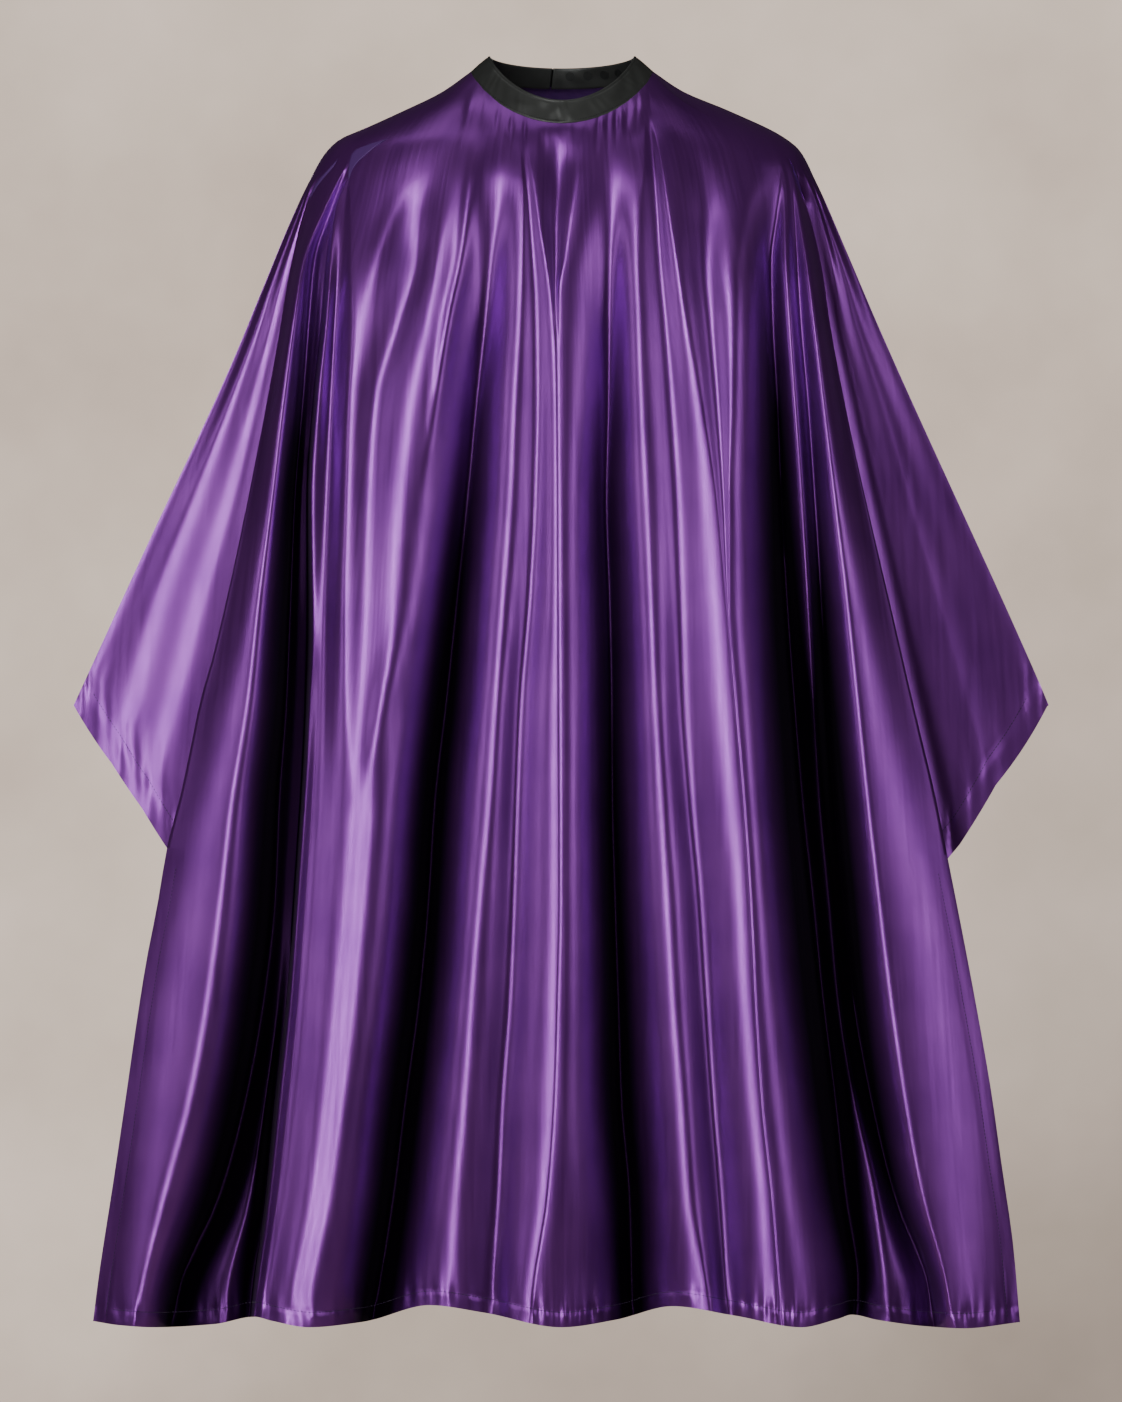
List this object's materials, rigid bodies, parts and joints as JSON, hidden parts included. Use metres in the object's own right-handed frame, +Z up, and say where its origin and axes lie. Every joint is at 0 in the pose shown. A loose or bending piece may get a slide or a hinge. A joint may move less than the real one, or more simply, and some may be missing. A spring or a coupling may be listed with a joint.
{
  "type": "barber cape",
  "caption": "Satin barber cape with a black stand-up neckband, wide draped front, side wings and a snap closure behind the neck.",
  "frame": {"origin": "middle of the neck opening, level with the sides of the neck", "axes": "+Z up, -Y towards the front of the wearer, +X towards the wearer's left"},
  "size_m": [0.925, 0.3348, 1.2046],
  "materials": {
    "cape_satin": "satin",
    "cape_thread": "matte",
    "band_satin": "satin",
    "band_thread": "matte",
    "band_core": "matte",
    "snap_metal": "gloss",
    "snap_cap": "satin"
  },
  "bodies": {
    "cape": {"cape_front_centre": "cape_satin", "cape_front_left": "cape_satin", "cape_front_right": "cape_satin", "cape_wing_left": "cape_satin", "cape_wing_right": "cape_satin", "cape_back_left": "cape_satin", "cape_back_right": "cape_satin", "front_hem_thread": "cape_thread", "side_hem_thread_left": "cape_thread", "side_hem_thread_right": "cape_thread", "wing_hem_thread_left": "cape_thread", "wing_hem_thread_right": "cape_thread", "back_hem_thread_left": "cape_thread", "back_hem_thread_right": "cape_thread", "slit_thread_left": "cape_thread", "slit_thread_right": "cape_thread", "neckband_front_cover": "band_satin", "neckband_front_core": "band_core", "neck_seam_thread_front": "band_thread"},
    "left_arm": {"neckband_left_cover": "band_satin", "neckband_left_core": "band_core", "neck_seam_thread_left": "band_thread"},
    "right_arm": {"neckband_right_cover": "band_satin", "neckband_right_core": "band_core", "neck_seam_thread_right": "band_thread", "snap_stud_1": "snap_metal", "snap_post_1": "snap_metal", "snap_stud_2": "snap_metal", "snap_post_2": "snap_metal", "snap_stud_3": "snap_metal", "snap_post_3": "snap_metal", "snap_stud_4": "snap_metal", "snap_post_4": "snap_metal"},
    "strap": {"closure_strap_cover": "band_satin", "closure_strap_core": "band_core", "snap_socket_1": "snap_metal", "snap_cap_1": "snap_cap", "snap_socket_2": "snap_metal", "snap_cap_2": "snap_cap"}
  },
  "joints": [
    {"name": "neckband_open", "type": "hinge", "parent": "cape", "child": "left_arm", "pos_m": [-0.0875, 0, 0.005], "axis": [0, 0, 1], "range_deg": [0, 60]},
    {"name": "neckband_open_right", "type": "hinge", "parent": "cape", "child": "right_arm", "pos_m": [0.0875, 0, 0.005], "axis": [0, 0, 1], "range_deg": [-30, 0]},
    {"name": "strap_peel", "type": "hinge", "parent": "left_arm", "child": "strap", "pos_m": [-0.0197, 0.074, 0], "axis": [0.16, -0.3101, 0.9372], "range_deg": [0, 110]}
  ],
  "couplings": [
    {"joint": "neckband_open_right", "follows": "neckband_open", "ratio": -0.5}
  ]
}
